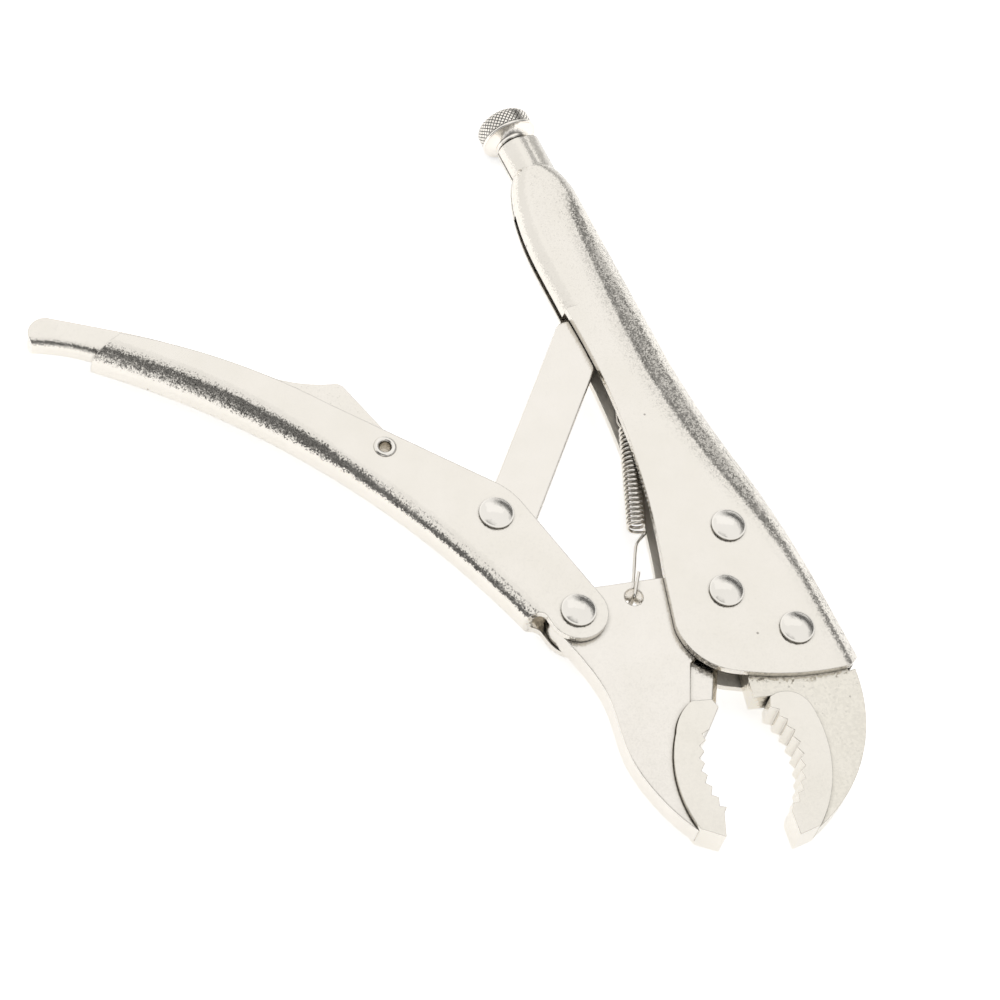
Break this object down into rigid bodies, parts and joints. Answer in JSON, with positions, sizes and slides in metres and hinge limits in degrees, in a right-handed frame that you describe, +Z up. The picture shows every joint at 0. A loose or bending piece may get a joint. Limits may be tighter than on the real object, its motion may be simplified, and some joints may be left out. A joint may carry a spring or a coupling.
{
  "type": "locking pliers",
  "caption": "Plated steel locking pliers with curved toothed jaws, over-centre toggle link, opening spring, release lever and knurled adjusting screw.",
  "frame": {"origin": "under the jaw pivot, on the flat lower end of its rivet, where the pliers rest on a bench", "axes": "+X along the adjusting screw towards the jaws, +Y towards the fixed handle's spine, +Z up through the rivets"},
  "size_m": [0.2252, 0.1644, 0.0159],
  "materials": {
    "plated_sheet": "satin nickel plate over tumbled sheet",
    "forged_plate": "satin nickel plate",
    "jaw_pad": "nickel plate, machined teeth",
    "turned_steel": "nickel plate, knurled",
    "spring_wire": "bright drawn wire",
    "rivet": "polished nickel plate"
  },
  "bodies": {
    "fixed_handle": {"fixed_handle": "plated_sheet", "fixed_jaw": "forged_plate", "fixed_jaw_pad": "jaw_pad", "jaw_pivot_rivet": "rivet", "jaw_rear_rivet": "rivet", "jaw_front_rivet": "rivet", "opening_spring": "spring_wire"},
    "movable_jaw": {"movable_jaw": "forged_plate", "movable_jaw_pad": "jaw_pad"},
    "movable_handle": {"movable_handle": "plated_sheet", "handle_rivet": "rivet", "link_rivet": "rivet", "lever_eyelet": "rivet"},
    "toggle_link": {"toggle_link": "forged_plate"},
    "release_lever": {"release_lever": "plated_sheet"},
    "adjusting_screw": {"adjusting_screw": "turned_steel"},
    "knurled_knob": {"knurled_knob": "turned_steel"}
  },
  "joints": [
    {"name": "jaw_pivot", "type": "hinge", "parent": "fixed_handle", "child": "movable_jaw", "pos_m": [0, 0, 0.008], "axis": [0, 0, 1], "range_deg": [0, 15.5], "stiffness_Nm_per_rad": 0.86, "springref_deg": -8.02, "deforming": ["opening_spring"]},
    {"name": "handle_pivot", "type": "hinge", "parent": "movable_jaw", "child": "movable_handle", "pos_m": [-0.008, -0.0388, 0.008], "axis": [0, 0, 1], "range_deg": [-33.81, 0]},
    {"name": "link_pivot", "type": "hinge", "parent": "movable_handle", "child": "toggle_link", "pos_m": [-0.0409, -0.0467, 0.008], "axis": [0, 0, 1], "range_deg": [0, 29.62]},
    {"name": "lever_pivot", "type": "hinge", "parent": "movable_handle", "child": "release_lever", "pos_m": [-0.0688, -0.0657, 0.008], "axis": [0, 0, 1], "range_deg": [-12, 0]},
    {"name": "screw_slide", "type": "slide", "parent": "fixed_handle", "child": "adjusting_screw", "axis": [-1, 0, 0], "range_m": [0, 0.02]},
    {"name": "knob_turn", "type": "hinge", "parent": "adjusting_screw", "child": "knurled_knob", "pos_m": [-0.15, 0.01, 0.008], "axis": [-1, 0, 0], "range_deg": [0, 5760]}
  ],
  "couplings": [
    {"joint": "handle_pivot", "follows": "jaw_pivot", "ratio": -2.1811},
    {"joint": "link_pivot", "follows": "jaw_pivot", "ratio": 1.9109},
    {"joint": "knob_turn", "follows": "screw_slide", "rad_per_m": 5026.6}
  ]
}
